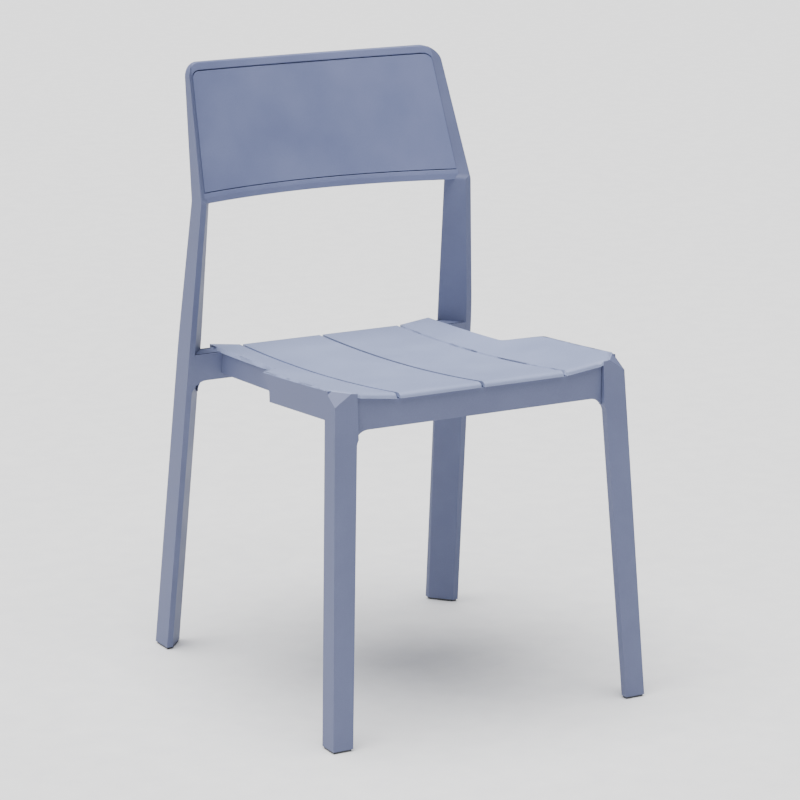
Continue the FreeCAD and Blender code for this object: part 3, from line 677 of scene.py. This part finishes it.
def rear_cross_rail():
    """Channel between the rear legs, open below, its walls curved down into the legs."""
    bm = bmesh.new()
    under_slat = seat_top(BESIDE_SEAT, RAIL_REAR) - SLAT_THICK + 0.3

    def behind_land(distance):
        """Place an outline point this far behind the leaning plane of the legs' front lands."""
        return lambda x, z: (x, LAND_Y + (LAND_Z - z) * LAND_SLOPE + 0.25 + distance, z)

    for front, reach, radius in ((True, RAIL_LAND, RAIL_FILLET), (False, REAR_WALL_REACH, REAR_WALL_RADIUS)):
        low = arc((reach - radius, RAIL_LOW - radius), radius, 90, 0, 8)
        half = low + [(reach, RAIL_SHOULDER), (BESIDE_SEAT, RAIL_SHOULDER), (BESIDE_SEAT, under_slat),
                      (SLAT_PITCH, RAIL_TOP)]
        outline = half + [(-x, z) for x, z in reversed(half)]
        if front:
            plate(bm, outline, behind_land(0), behind_land(WALL))
        else:
            plate(bm, outline, *across(RAIL_REAR - WALL, RAIL_REAR))
    top = [(-RAIL_LAND, RAIL_TOP - WALL), (RAIL_LAND, RAIL_TOP - WALL), (RAIL_LAND, RAIL_TOP),
           (-RAIL_LAND, RAIL_TOP)]
    plate(bm, top, *across(TOP_FRONT_Y, RAIL_REAR - 1))
    centre = (RAIL_LAND - RAIL_FILLET, RAIL_LOW - RAIL_FILLET)
    for sign in (-1, 1):
        root = arc(centre, RAIL_FILLET, 90, 0, 8) + [(RAIL_LAND, RAIL_TOP - 1), (centre[0], RAIL_TOP - 1)]
        plate(bm, [(sign * x, z) for x, z in root], behind_land(0.6), behind_land(ROOT_DEEP))
        ledge = [(sign * BESIDE_SEAT, RAIL_TOP - 1), (sign * RAIL_LAND, RAIL_TOP - 1),
                 (sign * RAIL_LAND, RAIL_SHOULDER), (sign * BESIDE_SEAT, RAIL_SHOULDER)]
        plate(bm, ledge, *across(LEDGE_FRONT_Y, RAIL_REAR - 0.6))
    make_piece("rear_cross_rail", bm, FRAME_PLASTIC_PAINTED_SHADE, ["rear_cross_rail"], soft=1.2)


SIDE_RAIL_X = 166
SIDE_RAIL_FRONT, SIDE_RAIL_REAR = (-18, 397), (170, 390)    # lower corners, y and z
# The waist web's rings: outer edge y and z, inner edge y and z.
WAIST_RINGS = (((-56, 405), (-17, 397)), ((-54, 420), (-16, 414)), ((-53, 421.5), (-15, 415.5)),
               ((STEP_FRONT_Y - 1.8, 438), (STEP_REAR_Y - 3.5, 427)))
WAIST_SLANT = 3                 # its rear face stands this far behind the front one
WAIST_INSET = 0.2               # its ends lie this far inside the skirt and the side rail


def side_rail(side, sign):
    """Wall under the narrow part of the seat, a shade inside its edge."""
    bm = bmesh.new()
    start, end = SIDE_RAIL_FRONT[0], SIDE_RAIL_REAR[0]
    ys = [start + (end - start) * i / 10 for i in range(11)]
    roof = [(y, seat_top(SIDE_RAIL_X - WALL, y) - SLAT_THICK + 0.5) for y in ys]
    outline = [SIDE_RAIL_REAR, SIDE_RAIL_FRONT] + roof
    plate(bm, outline, lambda y, z: (sign * SIDE_RAIL_X, y, z),
          lambda y, z: (sign * (SIDE_RAIL_X - WALL), y, z))
    name = "%s_side_rail" % side
    make_piece(name, bm, FRAME_PLASTIC_PAINTED_SHADE, [name], soft=0.8)


def waist_web(side, sign):
    """Wall under the waist step: upright below, flaring rearward to the step's edge above."""
    bm = bmesh.new()
    outer_x, inner_x = FRONT_TOP_X - WAIST_INSET, SIDE_RAIL_X - WAIST_INSET
    rings = []
    for (outer_y, outer_z), (inner_y, inner_z) in WAIST_RINGS:
        ring = [(outer_x, outer_y, outer_z), (inner_x, inner_y, inner_z),
                (inner_x - WALL, inner_y - WAIST_SLANT, inner_z),
                (outer_x - WALL, outer_y - WAIST_SLANT, outer_z)]
        rings.append([(sign * x, y, z) for x, y, z in ring])
    close_loft(bm, rings)
    name = "%s_waist_web" % side
    make_piece(name, bm, FRAME_PLASTIC_PAINTED_SHADE, [name], soft=0.7)


def seat_rib(name):
    """Rib across the seat's underside that follows the rise of the outer slats."""
    bm = bmesh.new()
    low, high = node_box(name)
    reach = high.x
    xs = [reach, SLAT_PITCH, -SLAT_PITCH, -reach]
    roof = [(x, seat_top(x, high.y) - SLAT_THICK + 0.3) for x in xs]
    rise, taper = 4, 14                                     # the rib's two ends slope up
    outline = [(-reach, low.z + rise), (-reach + taper, low.z), (reach - taper, low.z),
               (reach, low.z + rise)] + roof
    plate(bm, outline, *across(low.y, high.y))
    make_piece(name, bm, SEAT_PLASTIC_PAINTED_LIGHT, [name], soft=0.8)


# ---------------------------------------------------------------- fixings
SIZE_NAMES = ("Head Radius", "Head Height", "Shank Radius", "Shank Length")
SCREW = (5, 3, 2.4, 7)
BOLT = (6, 4, 3, 18)
SCREW_PLACES = (30, 90, 145)    # x, to both sides
SCREW_START = 0.6               # a screw's head starts this far above the node's lowest point
BOLT_START = 3.6                # a bolt's head starts this far short of the end tab


def fastener_tree():
    """Geometry Nodes: one pan-head hexagon-socket screw on each point, turned by the given Turn."""
    tree = bpy.data.node_groups.new("fasteners", "GeometryNodeTree")
    face = tree.interface
    face.new_socket("Geometry", in_out="INPUT", socket_type="NodeSocketGeometry")
    for name in SIZE_NAMES:
        face.new_socket(name, in_out="INPUT", socket_type="NodeSocketFloat")
    face.new_socket("Turn", in_out="INPUT", socket_type="NodeSocketVector")
    face.new_socket("Finish", in_out="INPUT", socket_type="NodeSocketMaterial")
    face.new_socket("Geometry", in_out="OUTPUT", socket_type="NodeSocketGeometry")
    given = add(tree, "NodeGroupInput").outputs
    head = given["Head Radius"]
    height = given["Head Height"]

    def times(socket, factor):
        return add(tree, "ShaderNodeMath", {0: socket, 1: factor}, operation="MULTIPLY").outputs[0]

    def lifted(mesh, distance):
        offset = add(tree, "ShaderNodeCombineXYZ", {"Z": distance}).outputs[0]
        return add(tree, "GeometryNodeTransform", {"Geometry": mesh, "Translation": offset}).outputs[0]

    disc = add(tree, "GeometryNodeMeshCylinder", {"Vertices": 28, "Radius": head,
                                                  "Depth": times(height, 0.6)})
    dome = add(tree, "GeometryNodeMeshCone", {"Vertices": 28, "Radius Top": head,
                                              "Radius Bottom": times(head, 0.78),
                                              "Depth": times(height, 0.4)})
    socket_hole = add(tree, "GeometryNodeMeshCylinder", {"Vertices": 6, "Radius": times(head, 0.42),
                                                         "Depth": times(height, 1.2)})
    shank = add(tree, "GeometryNodeMeshCylinder", {"Vertices": 20, "Radius": given["Shank Radius"],
                                                   "Depth": given["Shank Length"]})
    solid = add(tree, "GeometryNodeMeshBoolean", {}, operation="UNION", solver="EXACT")
    tree.links.new(lifted(disc.outputs["Mesh"], times(height, 0.695)), solid.inputs["Mesh 2"])
    tree.links.new(dome.outputs["Mesh"], solid.inputs["Mesh 2"])
    hollow = add(tree, "GeometryNodeMeshBoolean", {"Mesh 1": solid.outputs["Mesh"]},
                 operation="DIFFERENCE", solver="EXACT")
    tree.links.new(socket_hole.outputs["Mesh"], hollow.inputs["Mesh 2"])
    reach = add(tree, "ShaderNodeMath", {0: times(given["Shank Length"], 0.5), 1: times(height, 0.9)},
                operation="ADD").outputs[0]
    join = add(tree, "GeometryNodeJoinGeometry")
    tree.links.new(hollow.outputs["Mesh"], join.inputs[0])
    tree.links.new(lifted(shank.outputs["Mesh"], reach), join.inputs[0])
    turned = add(tree, "FunctionNodeEulerToRotation", {"Euler": given["Turn"]}).outputs[0]
    placed = add(tree, "GeometryNodeInstanceOnPoints", {"Points": given["Geometry"],
                                                        "Instance": join.outputs[0], "Rotation": turned})
    real = add(tree, "GeometryNodeRealizeInstances", {"Geometry": placed.outputs[0]})
    coated = add(tree, "GeometryNodeSetMaterial", {"Geometry": real.outputs[0], "Material": given["Finish"]})
    add(tree, "NodeGroupOutput", {"Geometry": coated.outputs[0]})
    return tree


def fasteners(name, node, tree, points, turn, sizes):
    """Run the fastener tree on a set of points and keep the result as a plain mesh."""
    seed = bpy.data.meshes.new(name + "_points")
    seed.from_pydata([Vector(p) * MM for p in points], [], [])
    carrier = bpy.data.objects.new(name + "_points", seed)
    bpy.context.scene.collection.objects.link(carrier)
    nodes = carrier.modifiers.new("fasteners", "NODES")
    nodes.node_group = tree
    sockets = {item.name: item.identifier for item in tree.interface.items_tree if item.in_out == "INPUT"}
    values = dict(zip(SIZE_NAMES, (size * MM for size in sizes)))
    values.update({"Turn": turn, "Finish": ZINC})
    for label, value in values.items():
        nodes[sockets[label]] = value
    bpy.context.view_layer.update()
    graph = bpy.context.evaluated_depsgraph_get()
    mesh = bpy.data.meshes.new_from_object(carrier.evaluated_get(graph))
    bpy.data.objects.remove(carrier)
    mesh.name = name
    piece = bpy.data.objects.new(name, mesh)
    bpy.context.scene.collection.objects.link(piece)
    settle(piece, ZINC, [node])


def fixings():
    """Screws up through the cross rail into the slats, and a sideways bolt through each apron tab."""
    tree = fastener_tree()
    low, high = node_box("seat_screws")
    points = [(sign * x, (low.y + high.y) / 2, low.z + SCREW_START)
              for sign in (-1, 1) for x in SCREW_PLACES]
    fasteners("seat_screws", "seat_screws", tree, points, (0, 0, 0), SCREW)
    low, high = node_box("leg_bolts")
    middle = (low + high) / 2
    for side, sign in SIDES:
        place = (sign * (APRON_HALF - WALL - BOLT_START), middle.y, middle.z)
        fasteners("leg_bolts_" + side, "leg_bolts", tree, [place], (0, sign * math.pi / 2, 0), BOLT)


legs()
seat()
back_panel()
back_bottom_rail()
back_top_rail()
front_apron()
rear_cross_rail()
for side, sign in SIDES:
    side_rail(side, sign)
    waist_web(side, sign)
for rib_name in ("front_seat_rib", "middle_seat_rib", "rear_seat_rib"):
    seat_rib(rib_name)
fixings()


# ---------------------------------------------------------------- studio
def studio():
    """White paper floor, one big soft light overhead, a weak fill from the left and a dim even surround."""
    bpy.ops.mesh.primitive_plane_add(size=24)
    floor = bpy.context.object
    floor.name = "studio_floor"
    floor.data.materials.append(studio_paper())
    world = bpy.data.worlds.new("studio_surround")
    bpy.context.scene.world = world
    world.use_nodes = True
    world.node_tree.nodes.clear()
    # the surround lights the chair dimly but is seen as bright as the floor
    seen = add(world.node_tree, "ShaderNodeLightPath").outputs["Is Camera Ray"]
    strength = add(world.node_tree, "ShaderNodeMapRange", {"Value": seen, "To Min": 0.1, "To Max": 1.9})
    glow = add(world.node_tree, "ShaderNodeBackground",
               {"Color": srgb("#ffffff"), "Strength": strength.outputs["Result"]})
    add(world.node_tree, "ShaderNodeOutputWorld", {"Surface": glow.outputs["Background"]})
    for name, place, spread, power in (("overhead", (-0.5, -0.25, 4.2), 62, 7.2),
                                       ("left_fill", (-3.6, -0.6, 2.2), 50, 0.55)):
        lamp = bpy.data.lights.new(name, "SUN")
        lamp.angle = math.radians(spread)
        lamp.energy = power
        light = bpy.data.objects.new(name, lamp)
        light.location = place
        light.rotation_euler = (Vector((0, 0, 0.4)) - Vector(place)).to_track_quat("-Z", "Y").to_euler()
        bpy.context.scene.collection.objects.link(light)


def camera():
    """Eye ahead of the chair, above the back and to its left, far enough for a calm perspective."""
    lens = bpy.data.cameras.new("portrait_lens")
    lens.lens = 150
    eye = bpy.data.objects.new("camera", lens)
    eye.location = (-2.0713, -3.7049, 1.4102)
    aim = Vector((0, -0.0175, 0.3739))
    eye.rotation_euler = (aim - eye.location).to_track_quat("-Z", "Y").to_euler()
    bpy.context.scene.collection.objects.link(eye)
    bpy.context.scene.camera = eye


studio()
camera()
